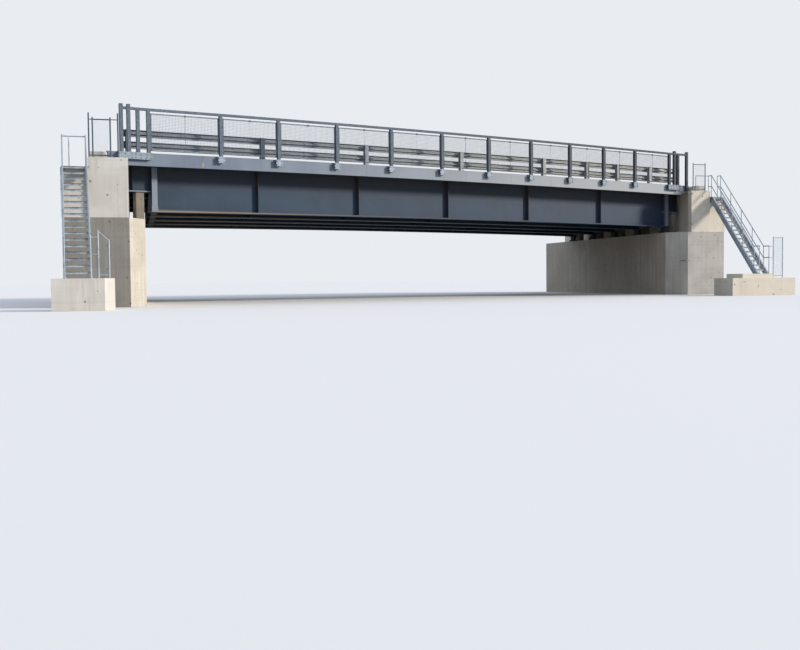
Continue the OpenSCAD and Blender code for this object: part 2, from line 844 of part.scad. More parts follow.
// Wall face at c = 0, going down towards -c, with n from 0 at the stair's canal side outwards
module stair_place(side) {
    canal()
        on_side(side)
            translate([stair_n(side), near(side) + return_set, 0])
                children();
}

// The left stair turns about the top of its canal side
function turn_of(side) = pick(side, -left_turn, 0);
module turned(side) {
    rotate([0, 0, turn_of(side)])
        children();
}

// Side view of a stringer: a band along the slope with a level head at the wall. inset shrinks it at the
// top and the bottom, and past lengthens it at the wall and the foot.
module stringer_outline(inset, past) {
    steep = sqrt(1 + stair_slope * stair_slope);
    top = stringer_up - inset * steep;
    low = stringer_up + (inset - stringer_h) * steep;
    ends = [stair_run, -2 * stair_run];
    intersection() {
        union() {
            polygon([
                for (p = [[ends[0], top], [ends[1], top], [ends[1], low], [ends[0], low]])
                    [p[0], landing_z + (p[0] + tread_d) * stair_slope + p[1]],
            ]);
            translate([-tread_d, landing_z - stringer_h + inset])
                square([tread_d + head_past + past, stringer_h - 2 * inset]);
        }
        translate([-2 * stair_run, pad_top - past])
            square([2 * stair_run + head_past + past, landing_z - inset - pad_top + past]);
    }
}

// Channel-section stringer with its flanges pointing to n = 0
module stringer() {
    rotate([90, 0, 90]) {
        translate([0, 0, stringer_w - stringer_t])
            linear_extrude(height = stringer_t)
                stringer_outline(0, 0);
        linear_extrude(height = stringer_w)
            difference() {
                stringer_outline(0, 0);
                stringer_outline(stringer_t, stringer_h);
            }
    }
}

module stringers(side) {
    w = stair_w(side);
    color(zinc_color)
        intersection() {
            turned(side) {
                stringer();
                translate([w, 0, 0])
                    mirror([1, 0, 0])
                        stringer();
            }
            span_box([-stair_run, -2 * stair_run, 0], [stair_run, 0, 2 * landing_z]);
        }
}

// Treads with a deep nosing plate, between the stringers' webs
module treads(side) {
    color(zinc_color)
        turned(side)
            for (i = [0:risers - 1]) {
                z = landing_z - i * riser;
                c = -i * going;
                n1 = stair_w(side) - stringer_w;
                span_box([stringer_w, c - tread_d, z - tread_t], [n1, c, z]);
                span_box([stringer_w, c - tread_d, z - nosing_h], [n1, c - tread_d + nosing_t, z]);
            }
}

// A tube between two points
module tube(a, b, d) {
    v = b - a;
    length = norm(v);
    translate(a)
        rotate([0, acos(v[2] / length), atan2(v[1], v[0])])
            cylinder(h = length, d = d, $fn = 24);
}

// Chain of tubes through a list of points, with a ball fitting at each
module pipe(points, d) {
    for (i = [0:len(points) - 2])
        tube(points[i], points[i + 1], d);
    for (p = points)
        translate(p)
            sphere(d = d + ball_past, $fn = 24);
}

// Height of the line through the middles of the treads, and of a stringer's top
function tread_line(c) = landing_z + (c + tread_d / 2) * stair_slope;
function stringer_top(c) = min(landing_z, landing_z + (c + tread_d) * stair_slope + stringer_up);
first_c = -tread_d / 2;
last_c = -stair_run + tread_d / 2;
// Middle of the return wall's top
landing_c = wing_t / 2;

// Handrail post on a stringer, with a wedge that fills the slope under it
module stringer_post(n, c) {
    d = handrail_d - post_less;
    low = stringer_top(c - wedge_l / 2);
    high = stringer_top(c + wedge_l / 2);
    tube([n, c, high], [n, c, tread_line(c) + handrail_h], d);
    translate([n - d / 2 - wedge_past, 0, 0])
        rotate([90, 0, 90])
            linear_extrude(height = d + 2 * wedge_past)
                polygon([
                    [c - wedge_l / 2, low], [c + wedge_l / 2, high],
                    [c + wedge_l / 2, high + wedge_t], [c - wedge_l / 2, high + wedge_t],
                ]);
}

// Handrail of one side of a stair, at n: a top and a middle tube from the return wall down to the pad, on
// posts at both ends and along the stringer
module handrail(n) {
    top = landing_z + handrail_h;
    low = tread_line(last_c) + handrail_h;
    for (drop = [0, handrail_h / 2])
        pipe([
            [n, landing_c, top - drop], [n, first_c, top - drop],
            [n, last_c, low - drop], [n, newel_c, low - drop],
        ], handrail_d);
    tube([n, landing_c, landing_z], [n, landing_c, top], handrail_d - post_less);
    tube([n, newel_c, pad_top], [n, newel_c, low], handrail_d - post_less);
    for (i = [0:handrail_posts - 1])
        stringer_post(n, first_c + (last_c - first_c) * i / (handrail_posts - 1));
}

// Rail across the left landing, on a single post
module left_landing_rail() {
    z = landing_z + handrail_h;
    tube([handrail_in, landing_c, z], [left_stair_w - handrail_in, landing_c, z], cross_d);
    tube([landing_post_n, landing_c, landing_z], [landing_post_n, landing_c, z], handrail_d - post_less);
}

// Low rail along the top of the right wing wall, up to the stair's handrail
module right_landing_rail() {
    z = landing_z + handrail_h;
    tube([-low_rail_l, landing_c, z], [handrail_in, landing_c, z], cross_d);
    tube([-low_rail_l, landing_c, wing_top(1)], [-low_rail_l, landing_c, z], handrail_d - post_less);
}

// Where the lowest handrail post stands after the stair's turn, for a handrail at n
function foot_point(side, n) = [
    n * cos(turn_of(side)) - last_c * sin(turn_of(side)),
    n * sin(turn_of(side)) + last_c * cos(turn_of(side)),
];

// Framed panel of tubes from n0 to n1 in the plane c, standing at z0, h0 and h1 high at its ends
module foot_panel(n0, n1, c, z0, h0, h1) {
    d = handrail_d - post_less;
    tube([n0, c, z0], [n0, c, z0 + h0], handrail_d);
    tube([n1, c, z0], [n1, c, z0 + h1], handrail_d);
    tube([n0, c, z0 + foot_bar_h], [n1, c, z0 + foot_bar_h], d);
    tube([n0, c, z0 + h0 - d], [n1, c, z0 + h1 - d], d);
}

// Foot panel and the tubes that tie it to the lowest handrail post
module foot_panels(side) {
    post = foot_point(side, pick(side, handrail_in, right_stair_w - handrail_in));
    n0 = post[0] + pick(side, -left_foot_gap, right_foot_gap);
    if (side < 0)
        foot_panel(n0, n0 - left_foot_l, post[1], pad_top, left_foot_h, left_foot_h - left_foot_fall);
    else
        foot_panel(n0, n0 + right_foot_l, post[1], pad_top - pad_step, right_foot_h, right_foot_h);
    for (h = [handrail_h, handrail_h / 2]) {
        z = tread_line(last_c) + h;
        tube([post[0], post[1], z], [n0, post[1], z], tie_d);
    }
}

module handrails(side) {
    color(zinc_color) {
        turned(side) {
            for (n = [handrail_in, stair_w(side) - handrail_in])
                handrail(n);
            if (side < 0)
                left_landing_rail();
            else
                right_landing_rail();
        }
        foot_panels(side);
    }
}

// Pad under a stair's foot. The left one has a cut corner and the right one a lower step.
module stair_pad(side) {
    n0 = -pad_in;
    n1 = stair_w(side) + pad_out;
    back = pad_near + pad_l;
    color(concrete_color)
        stair_place(side)
            if (side < 0) {
                linear_extrude(height = pad_top)
                    polygon([
                        [n0, back], [n0, pad_near + pad_cut], [n0 + pad_cut, pad_near],
                        [n1, pad_near], [n1, back],
                    ]);
            } else {
                span_box([n0, pad_near, 0], [n1, back, pad_top]);
                span_box([n0 - step_in, pad_near - step_past, 0], [n1 + step_out, back, pad_top - pad_step]);
            }
}

// Upright tube of a fence at n
module upright(n, h) {
    translate([n, 0, 0])
        cylinder(h = h, d = fence_d, $fn = 24);
}

// Two uprights and the level tubes between them
module fence_panel(n0, n1) {
    for (n = [n0, n1])
        upright(n, fence_h);
    for (z = [fence_bar_in, fence_h - fence_bar_in])
        tube([n0, 0, z], [n1, 0, z], fence_d - post_less);
}

// Fence panel on the left near wing wall, tied to a taller post on each side of it
module left_fence() {
    n1 = left_wing_l - left_fence_in;
    n0 = n1 - left_fence_l;
    posts = [n0 - left_fence_past, left_wing_l - fence_d];
    fence_panel(n0, n1);
    for (n = posts)
        upright(n, fence_h + single_extra);
    for (z = [fence_bar_in, fence_h - fence_bar_in])
        tube([posts[0], 0, z], [posts[1], 0, z], tie_d);
}

module wing_fence(side) {
    color(zinc_color)
        canal()
            on_side(side)
                translate([half_clear + wing_back(side), near(side) + wing_t / 2, wing_top(side)])
                    if (side < 0)
                        left_fence();
                    else
                        fence_panel(right_fence_in, right_fence_in + right_fence_l);
}

place() stem(-1);  // left_stem
place() stem(1);  // right_stem
place() backwall(-1);  // left_backwall
place() backwall(1);  // right_backwall
place() near_wing(-1);  // left_near_wing
place() near_wing(1);  // right_near_wing
place() far_wing(-1);  // left_far_wing
place() far_wing(1);  // right_far_wing
place() pedestals(-1);  // left_pedestals
place() pedestals(1);  // right_pedestals
place() bearings(-1);  // left_bearings
place() bearings(1);  // right_bearings
place() end_bearings();  // right_end_bearings
place() girder(1);  // girder_1
place() girder(2);  // girder_2
place() girder(3);  // girder_3
place() girder(4);  // girder_4
place() girder(5);  // girder_5
place() end_posts();
place() cross_frames();
place() deck_slab();
place() fascia();  // near_fascia
place() far_side() fascia();  // far_fascia
place() rail_posts();  // near_rail_posts
place() far_side() rail_posts();  // far_rail_posts
place() post_brackets();  // near_post_brackets
place() far_side() post_brackets();  // far_post_brackets
place() top_rail();  // near_top_rail
place() far_side() top_rail();  // far_top_rail
place() mesh_panels();  // near_mesh_panels
place() far_side() mesh_panels();  // far_mesh_panels
place() guard_posts();  // near_guard_posts
place() far_side() guard_posts();  // far_guard_posts
place() guard_beams();  // near_guard_beams
place() far_side() guard_beams();  // far_guard_beams
place() stair_place(-1) stringers(-1);  // left_stair_stringers
place() stair_place(1) stringers(1);  // right_stair_stringers
place() stair_place(-1) treads(-1);  // left_stair_treads
place() stair_place(1) treads(1);  // right_stair_treads
place() stair_place(-1) handrails(-1);  // left_stair_handrails
place() stair_place(1) handrails(1);  // right_stair_handrails
place() stair_pad(-1);  // left_stair_pad
place() stair_pad(1);  // right_stair_pad
place() wing_fence(-1);  // left_wing_fence
place() wing_fence(1);  // right_wing_fence
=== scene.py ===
import math

import bmesh
import bpy
from mathutils import Matrix, Vector


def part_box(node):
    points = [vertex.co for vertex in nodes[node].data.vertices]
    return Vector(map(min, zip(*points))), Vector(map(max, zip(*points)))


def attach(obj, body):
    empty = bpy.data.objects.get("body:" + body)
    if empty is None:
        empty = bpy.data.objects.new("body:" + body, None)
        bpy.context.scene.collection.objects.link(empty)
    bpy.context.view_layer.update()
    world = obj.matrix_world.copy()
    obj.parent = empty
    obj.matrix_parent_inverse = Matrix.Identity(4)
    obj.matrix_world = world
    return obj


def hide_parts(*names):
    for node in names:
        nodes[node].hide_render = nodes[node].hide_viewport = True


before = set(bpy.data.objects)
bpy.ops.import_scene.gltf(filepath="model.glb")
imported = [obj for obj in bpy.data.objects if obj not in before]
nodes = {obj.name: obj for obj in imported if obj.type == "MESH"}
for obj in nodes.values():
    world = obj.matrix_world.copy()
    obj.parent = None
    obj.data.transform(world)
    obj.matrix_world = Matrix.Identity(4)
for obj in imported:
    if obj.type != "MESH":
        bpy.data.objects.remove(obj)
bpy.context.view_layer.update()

# Deck and fascia, as in the frame
SKEW = math.radians(17.6)
HALF_CLEAR = 11.75
DECK_BACK = 1.15
HALF_W = 5.75
CAMBER = 0.065
CAMBER_PARTS = 12
DECK_Z = 5.0
FASCIA_TOP = 5.034
FASCIA_LOW = 4.607

# Railing and its clamp plates, as in the frame, with the bays in millimetres
RAIL_TOP = 6.475
POST_W = 0.11
BAR_W = 0.03
PANEL_GAP = 0.02
PANEL_FOOT = 0.06
PANEL_DROP = 0.155
CLAMP_T = 0.016
CLAMP_TOP = 5.025
RAIL_Y = -HALF_W - CLAMP_T - POST_W / 2
RAIL_IN = (1.348, 1.397)
RAIL_BAYS = (2525, 2170, 2340, 2335, 2330, 2290, 2190, 2130, 1950, 1885, 2180)
LEFT_GROUP = (0.35, 0.655, 0.897)
RIGHT_GROUP = (0.328, 0.558)

# Guard rail, as in the frame, with the bays in millimetres
GUARD_Y = -HALF_W + 0.48
GUARD_IN = (0.815, 0.32)
GUARD_BAYS = (4810, 4270, 4410, 4300, 2450, 1840, 2000, 1850)
GUARD_POST_W = 0.15
GUARD_POST_H = 0.8
GUARD_BASE_T = 0.03
GUARD_LOWS = (5.205, 5.59)
BEAM_H = 0.24
BEAM_D = 0.08
BEAM_T = 0.006

# Stairs and wing walls, as in the frame
RISER = 0.197
GOING = 0.195
RISERS = 18
TREAD_D = 0.235
STRINGER_W = 0.065
STRINGER_T = 0.012
HANDRAIL_IN = 0.045
LANDING_Z = 4.47
PAD_Z = LANDING_Z - RISERS * RISER
NEWEL_C = -3.8147
LAST_C = -(RISERS - 1) * GOING - TREAD_D / 2
WING_T = 0.28
WING_Z = {"left": 4.79, "right": 4.75}
RETURN_SET = 0.1
LEFT_TURN = math.radians(3.4)

# Washer and head of a bolt, as shares of the head's width
WASHER_W = 1.5
WASHER_H = 0.15
HEAD_H = 0.7

# Railing panels: mid bar, wires before and behind the panel's plane, top clip, and lugs to the posts
MID_BAR_W = 0.008
WIRE_PITCH = 0.05
WIRE_T = 0.005
UPRIGHT_WIRE_Y = -0.003
LEVEL_WIRE_Y = 0.002
CLIP_L = 0.06
CLIP_W = 0.044
CLIP_UP = 0.012
CLIP_DOWN = 0.045
LUG_IN = 0.25
LUG_W = 0.024
LUG_H = 0.05

# Clamp studs: their nuts, their places beside the posts and under the plates' tops
STUD_D = 0.02
STUD_IN = 0.002
STUD_OUT = 0.03
STUD_NUT = 0.036
STUD_SIDE = 0.095
STUD_BESIDE_POST = 0.088
STUD_DROPS = (0.054, 0.171)
WIDE_GAP = 0.28

# Weld seams of the fascia, and the leak's lumps: each one's shift beside the seam, width, top and foot
SEAMS = (-12.12, -9.97, -5.67, -1.1, 1.18, 3.32)
SEAM_W = 0.014
SEAM_T = 0.004
LEAK_LUMPS = ((0, 0.026, 4.83, 4.615), (0.02, 0.018, 4.79, 4.69), (-0.016, 0.012, 4.74, 4.61))
LEAK_T = 0.012
LEAK_OUT = 0.003

# Pale strips on the flange edges of the near girder's shallow ends as painted sunlight, set back from the
# girder's nearest face
NIB_SET = 0.05
NIB_ENDS = ((-14.6, -13.42), (11.15, 12.33))
NIB_Z = (3.83, 3.872)
NIB_PAINT_T = 0.003

# Splices of the guard beams. The lap follows the beam's W section, given as shares of its depth and height.
VALLEY = 0.1
HALF_SECTION = ((0, 0), (0.15, 0.02), (1, 0.14), (1, 0.28), (VALLEY, 0.42))
SPLICES = (-7.884, -3.15, 1.298)
LAP_L = 0.3
LAP_T = 0.005
LAP_BOLTS = ((1, 0.21), (VALLEY, 0.5), (1, 0.79))
LAP_BOLT_IN = 0.05
LAP_HEAD_W = 0.034
LAP_HEAD_H = 0.012
LAP_NUT_W = 0.03
LAP_NUT_H = 0.025

# Bolts, cap plate and anchors of a guard rail post
BEAM_BOLT_SIDE = 0.045
BEAM_BOLT_W = 0.036
BEAM_BOLT_H = 0.014
CAP_W = 0.2
CAP_BACK = 0.015
CAP_UP = 0.012
CAP_DOWN = 0.01
CAP_BOLT_SIDE = 0.065
CAP_BOLT_W = 0.03
ANCHOR_SIDE = 0.092
ANCHOR_NUT = 0.026
ANCHOR_D = 0.016
ANCHOR_H = 0.07

# Gratings of the treads, with depths below the walking face
NOSING_W = 0.032
NOSING_H = 0.035
LIP_T = 0.006
LIP_H = 0.07
END_PLATE_T = 0.006
END_PLATE_H = 0.055
BEARING_BARS = 7
BEARING_T = 0.005
BEARING_SPAN = (0.032, 0.001)
CROSS_PITCH = 0.06
CROSS_T = 0.006
CROSS_IN = 0.02
CROSS_SPAN = (0.012, 0.002)

# Tread bolts, at shares of a tread's depth, and round foot flanges of the handrail posts
TREAD_BOLTS = (0.25, 0.8)
TREAD_BOLT_DROP = 0.03
TREAD_BOLT_W = 0.022
FLANGE_D = 0.11
FLANGE_T = 0.01
FLANGE_BOLT_W = 0.016
FLANGE_BOLT_R = 0.04
FLANGE_BOLT_TURNS = (0.5, 2.6, 4.7)

# Wire fabric: the diamonds' width, the wire, and the least length of a wire that is drawn
LINK_PITCH = 0.085
LINK_T = 0.004
LINK_Y = 0.002
SHORTEST_WIRE = 0.02
FOOT_LOW = 0.09
FENCE_LOW = 0.07
FENCE_TOPS = (1.205, 1.205)

# A stair is drawn with n across it, c along it and z up, and its own n is its distance from the middle.
# Its fabric panels, beside its foot and on the wing wall, have ends in n, and tops over their level.
STAIRS = (
    {"side": "left", "sign": -1, "n": 13.507, "width": 0.8, "turn": -LEFT_TURN,
     "lone_post": (0.55, LANDING_Z), "foot_post": HANDRAIL_IN, "foot_ends": (-0.52, -0.22),
     "foot_z": PAD_Z, "foot_tops": (1.08, 1.354), "fence_ends": (12.785, 13.33)},
    {"side": "right", "sign": 1, "n": 13.537, "width": 0.56, "turn": 0,
     "lone_post": (-0.607, WING_Z["right"]), "foot_post": 0.56 - HANDRAIL_IN, "foot_ends": (0.48, 0.94),
     "foot_z": PAD_Z - 0.18, "foot_tops": (1.724, 1.724), "fence_ends": (12.731, 13.348)},
)

# Camera of the photograph, low, to the left and in front of the bridge, with its turns in degrees
LENS = 45.45
EYE = (-24.96, -38.35, 0.80)
EYE_HEADING = -32.4
EYE_DOWN = 2.56
EYE_ROLL = -0.53

# Floor, a little under the foot of the bridge, and a low sun at the right, in front, its disc in degrees
FLOOR_REACH = 400
FLOOR_DROP = 0.002
FLOOR_GLOW = 0.1
SUN_STRENGTH = 3.8
SUN_DISC = 9
SUN_COLOUR = (1.0, 0.93, 0.83)
TOWARD_SUN = (0.687, -0.645, 0.334)

# The slab is centred on the drawing's origin, so its box gives the way back to the frame.
# FAR turns pieces of the near edge half round on to the far edge. SQUARE has its X square to the abutments.
slab_low, slab_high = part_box("deck_slab")
DECK_MID = Vector(((slab_low.x + slab_high.x) / 2, (slab_low.y + slab_high.y) / 2, 0))
DRAWN = Matrix.Translation(DECK_MID)
FAR = DRAWN @ Matrix.Rotation(math.pi, 4, "Z")
SQUARE = DRAWN @ Matrix.Rotation(-SKEW, 4, "Z")


def across(x, y):
    """Distance from the middle of the bridge, square to the abutments."""
    return x * math.cos(SKEW) - y * math.sin(SKEW)


def x_at(n, y):
    """Place along the girders of a point that is n from the middle, square to the abutments."""
    return (n + y * math.sin(SKEW)) / math.cos(SKEW)


def arc_rise(i):
    """Camber at the start of one of the straight parts that make up its arc."""
    return CAMBER * (1 - (2 * i / CAMBER_PARTS - 1) ** 2)


def lift(x, y):
    """Camber of the deck at a point."""
    n = across(x, y)
    if abs(n) >= HALF_CLEAR:
        return 0
    part = (n + HALF_CLEAR) / (2 * HALF_CLEAR) * CAMBER_PARTS
    i = math.floor(part)
    return arc_rise(i) * (1 - part + i) + arc_rise(i + 1) * (part - i)


def near_face(node):
    """Nearest face of a frame node, measured along the abutments."""
    back = SQUARE.inverted()
    return min((back @ v.co).y for v in nodes[node].data.vertices)


def spaced(start, end, pitch):
    """Points that split a length into equal parts of about the pitch, without its ends."""
    count = round((end - start) / pitch)
    return [start + (end - start) * k / count for k in range(1, count)]


def places(bays, start, end):
    """Points that split a length into the given bays, with its ends."""
    return [start + (end - start) * sum(bays[:i]) / sum(bays) for i in range(len(bays) + 1)]


def bar(mesh, start, end, thick):
    """Straight square bar from one point to another."""
    start, end = Vector(start), Vector(end)
    along = (end - start).normalized()
    side = along.cross(Vector((0, 0, 1)))
    if side.length < 0.01:
        # The bar is upright, so any level direction serves as its side
        side = Vector((1, 0, 0))
    side.normalize()
    up = side.cross(along)
    turn = Matrix((side, along, up)).transposed().to_4x4()
    size = Matrix.Diagonal((thick, (end - start).length, thick, 1))
    bmesh.ops.create_cube(mesh, size=1, matrix=Matrix.Translation((start + end) / 2) @ turn @ size)


def rod(mesh, start, end, thick, sides=8):
    """Round rod from one point to another."""
    start, end = Vector(start), Vector(end)
    turn = (end - start).to_track_quat("Z", "Y").to_matrix().to_4x4()
    bmesh.ops.create_cone(
        mesh, cap_ends=True, segments=sides, radius1=thick / 2, radius2=thick / 2,
        depth=(end - start).length, matrix=Matrix.Translation((start + end) / 2) @ turn)


def plate(mesh, low, high):
    """Plate between two corners."""
    low, high = Vector(low), Vector(high)
    size = Matrix.Diagonal((*(high - low), 1))
    bmesh.ops.create_cube(mesh, size=1, matrix=Matrix.Translation((low + high) / 2) @ size)


def bolt(mesh, at, out, size):
    """Hexagon head on a round washer, standing out of a face."""
    at, out = Vector(at), Vector(out)
    rod(mesh, at, at + out * size * WASHER_H, size * WASHER_W, sides=12)
    rod(mesh, at, at + out * size * HEAD_H, size, sides=6)


def put(mesh, name, finish, matrix=DRAWN, replaces=()):
    """Turn a drawn mesh into a piece of the bridge."""
    mesh.transform(matrix)
    if matrix.determinant() < 0:
        bmesh.ops.reverse_faces(mesh, faces=mesh.faces)
    data = bpy.data.meshes.new(name)
    mesh.to_mesh(data)
    mesh.free()
    data.materials.append(finish)
    piece = bpy.data.objects.new(name, data)
    bpy.context.scene.collection.objects.link(piece)
    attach(piece, "root")
    if replaces:
        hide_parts(*replaces)


def shade(code):
    """Linear colour of an sRGB hex value."""
    parts = [int(code[i:i + 2], 16) / 255 for i in (1, 3, 5)]
    return tuple(p / 12.92 if p <= 0.04045 else ((p + 0.055) / 1.055) ** 2.4 for p in parts) + (1,)


def feed(tree, node, inputs):
    """Link sockets to a node's inputs, and set its inputs that are given as plain values."""
    for name, value in inputs.items():
        if isinstance(value, bpy.types.NodeSocket):
            tree.links.new(value, node.inputs[name])
        else:
            node.inputs[name].default_value = value


def add(tree, kind, inputs=None, **settings):
    """Add a node with its settings, and feed its inputs."""
    made = tree.nodes.new("ShaderNode" + kind)
    for name, value in settings.items():
        setattr(made, name, value)
    feed(tree, made, inputs or {})
    return made


def lay_tone(tree, colour, tone, *shares):
    """Lay a tone over a colour by the product of some shares.

    A share is a socket, a number, or a socket with two limits, between which it rises smoothly from 0 to 1.
    """
    product = None
    for share in shares:
        if isinstance(share, tuple):
            limits = dict(zip(("Value", "From Min", "From Max"), share))
            share = add(tree, "MapRange", limits, interpolation_type="SMOOTHSTEP").outputs["Result"]
        if product:
            share = add(tree, "Math", {0: product, 1: share}, operation="MULTIPLY").outputs[0]
        product = share
    return add(tree, "Mix", {0: product, 6: colour, 7: tone}, data_type="RGBA").outputs[2]


def streaks(tree, place, density, detail, roughness):
    """Noise that is drawn out along the axes on which its density is low."""
    spread = add(tree, "Mapping", {"Vector": place, "Scale": density}).outputs["Vector"]
    return add(tree, "TexNoise", {
        "Vector": spread, "Scale": 1.0, "Detail": detail, "Roughness": roughness}).outputs["Fac"]


def new_finish(name):
    """Material with its surface shader, and Object coordinates with X turned square to the abutments."""
    material = bpy.data.materials.new(name)
    material.use_nodes = True
    tree = material.node_tree
    surface = tree.nodes["Principled BSDF"]
    place = add(tree, "TexCoord").outputs["Object"]
    turned = add(tree, "Mapping", {"Vector": place, "Rotation": (0, 0, SKEW)}).outputs["Vector"]
    return material, tree, surface, turned


def toward_right(tree, turned):
    """Share that grows from the left abutment to the right one."""
    place = add(tree, "SeparateXYZ", {"Vector": turned}).outputs
    return place["X"], -HALF_CLEAR, HALF_CLEAR


def stem_shade_and_silt(tree, turned, colour, boards, near_face_shade):
    """Painted shade on a stem's faces that look along the abutments, and silt on those that look across."""
    normal = add(tree, "NewGeometry").outputs["Normal"]
    facing = add(tree, "Mapping", {"Vector": normal, "Rotation": (0, 0, SKEW)}).outputs["Vector"]
    way = add(tree, "SeparateXYZ", {"Vector": facing}).outputs
    side = add(tree, "Math", {0: way["Y"]}, operation="ABSOLUTE").outputs[0]
    front = add(tree, "Math", {0: way["X"]}, operation="ABSOLUTE").outputs[0]
    # The left abutment has four times the painted shade of the right one, and the boards thin it a little
    place = add(tree, "SeparateXYZ", {"Vector": turned}).outputs
    left = add(tree, "MapRange", {
        "Value": place["X"], "From Min": -1, "From Max": 1, "To Min": 1, "To Max": 0.25}).outputs["Result"]
    board_thinning = add(tree, "MapRange", {
        "Value": boards, "From Min": 0.3, "From Max": 0.7, "To Min": 0.85}).outputs["Result"]
    colour = lay_tone(tree, colour, shade("#5f5b54"), (side, 0.75, 0.95), left, board_thinning, near_face_shade)
    return lay_tone(tree, colour, shade("#bcac8f"), (front, 0.75, 0.95), (boards, 0.25, 0.6), 0.7)


def form_marks(tree, flat, upright, colour, mark, cloud, joints, planks):
    """Joints of form panels 2.4 m wide and high, and edges of 190 mm planks, worn away in places."""
    if joints:
        panels = add(tree, "TexBrick", {
            "Vector": flat, "Scale": 1.0, "Brick Width": 2.4, "Row Height": 2.44,
            "Mortar Size": 0.005, "Mortar Smooth": 0.6}, offset=0.0).outputs["Fac"]
        colour = lay_tone(tree, colour, mark, panels, upright, joints)
    if planks:
        rows = add(tree, "TexBrick", {
            "Vector": flat, "Scale": 1.0, "Brick Width": 3.1, "Row Height": 0.19,
            "Mortar Size": 0.006, "Mortar Smooth": 1.0}, offset=0.5).outputs["Fac"]
        colour = lay_tone(tree, colour, mark, rows, upright, cloud, planks)
    return colour


def tie_holes(tree, flat, upright):
    """Share of tie holes and pour voids of up to 80 mm, one to each 0.6 m of wall."""
    holes = add(tree, "TexVoronoi", {"Vector": flat, "Scale": 1.6}, voronoi_dimensions="2D").outputs
    chance = add(tree, "SeparateColor", {"Color": holes["Color"]}).outputs["Red"]
    reach = add(tree, "Math", {0: chance, 1: 0.05}, operation="MULTIPLY").outputs[0]
    inside = add(tree, "Math", {0: holes["Distance"], 1: reach}, operation="SUBTRACT").outputs[0]
    hole = add(tree, "MapRange", {
        "Value": inside, "From Min": 0.025, "From Max": 0.0}, interpolation_type="SMOOTHSTEP")
    return add(tree, "Math", {0: hole.outputs["Result"], 1: upright}, operation="MULTIPLY").outputs[0]


def cast_concrete(name, pale, dark, mark, joints=0.0, pits=0.6, near_face_shade=0.0, planks=0.0, sunlit_warmth=0.0):
    """Form-cast concrete, matt and porous: cloudy cement colour, run stains, form joints and tie holes."""
    material, tree, surface, turned = new_finish(name)
    pale, dark, mark = shade(pale), shade(dark), shade(mark)
    cloud = add(tree, "TexNoise", {
        "Vector": turned, "Scale": 0.9, "Detail": 5.0, "Roughness": 0.6}).outputs["Fac"]
    colour = lay_tone(tree, pale, dark, (cloud, 0.36, 0.64))
    # Rain runs, 150 mm wide and a metre and more long
    runs = streaks(tree, turned, (6.5, 6.5, 0.5), 4.0, 0.55)
    colour = lay_tone(tree, colour, mark, (runs, 0.5, 0.75), 0.45)
    # Marks of 100 mm form boards, set upright, each a little lighter or darker than the next
    boards = streaks(tree, turned, (10, 10, 0.16), 2.0, 0.5)
    colour = lay_tone(tree, colour, dark, (boards, 0.4, 0.66), 0.25)
    # Faint level marks of the pours, about 0.3 m apart
    pours = streaks(tree, turned, (0.25, 0.25, 6.0), 3.0, 0.6)
    colour = lay_tone(tree, colour, mark, (pours, 0.52, 0.7), 0.15)
    if near_face_shade:
        colour = stem_shade_and_silt(tree, turned, colour, boards, near_face_shade)
    if sunlit_warmth:
        # Painted sunlight: paler and warmer towards the right abutment
        colour = lay_tone(tree, colour, shade("#f3e4c8"), toward_right(tree, turned), sunlit_warmth)
    # Sand grain of 15 mm, coarser than the real 4 mm so that it shows
    grain = add(tree, "TexNoise", {
        "Vector": turned, "Scale": 65.0, "Detail": 3.0, "Roughness": 0.7}).outputs["Fac"]
    colour = lay_tone(tree, colour, dark, (grain, 0.3, 0.75), 0.3)
    # Forms mark the upright faces only, where the sum of both level axes runs along the wall
    place = add(tree, "SeparateXYZ", {"Vector": turned}).outputs
    wall = add(tree, "Math", {0: place["X"], 1: place["Y"]}, operation="ADD").outputs[0]
    flat = add(tree, "CombineXYZ", {"X": wall, "Y": place["Z"]}).outputs["Vector"]
    way = add(tree, "SeparateXYZ", {"Vector": add(tree, "NewGeometry").outputs["Normal"]}).outputs
    level = add(tree, "Math", {0: way["Z"]}, operation="ABSOLUTE").outputs[0]
    upright = add(tree, "Math", {0: level, 1: 0.5}, operation="LESS_THAN").outputs[0]
    colour = form_marks(tree, flat, upright, colour, mark, cloud, joints, planks)
    hole = tie_holes(tree, flat, upright)
    # Dark tie holes and voids, which are only bumps: painted shade in the recesses
    colour = lay_tone(tree, colour, shade("#4d463c"), hole, pits)
    height = add(tree, "Math", {0: grain, 1: hole}, operation="SUBTRACT").outputs[0]
    bump = add(tree, "Bump", {"Height": height, "Strength": 0.35, "Distance": 0.01}).outputs["Normal"]
    feed(tree, surface, {"Base Color": colour, "Normal": bump, "Roughness": 0.9, "IOR": 1.45})
    return material


def girder_shade_and_grime(tree, turned, colour, runs, grime_and_shade):
    """Painted shade under the slab, rust on the stiffeners, and brown dust with painted reflected light on
    the lower flanges' edges.
    """
    place = add(tree, "SeparateXYZ", {"Vector": turned}).outputs
    way = add(tree, "SeparateXYZ", {"Vector": add(tree, "NewGeometry").outputs["Normal"]}).outputs
    # Painted shade under the slab, dark brown, which thins out down the web
    colour = lay_tone(tree, colour, shade("#2c2825"), (place["Z"], 3.75, 4.6), grime_and_shade)
    # Rust that bleeds over the sides of the stiffeners
    side = add(tree, "Math", {0: way["X"]}, operation="ABSOLUTE").outputs[0]
    colour = lay_tone(tree, colour, shade("#4c3b30"), (side, 0.7, 0.9), (runs, 0.3, 0.6), grime_and_shade)
    # Brown dust and painted reflected light on the edges of the lower flanges, most of it towards the left
    # abutment
    level = add(tree, "Math", {0: way["Z"]}, operation="ABSOLUTE").outputs[0]
    low, leftward = (place["Z"], 3.29, 3.2), (place["X"], 4, -HALF_CLEAR)
    return lay_tone(tree, colour, shade("#94836e"), low, (level, 0.6, 0.3), leftward, 0.8)


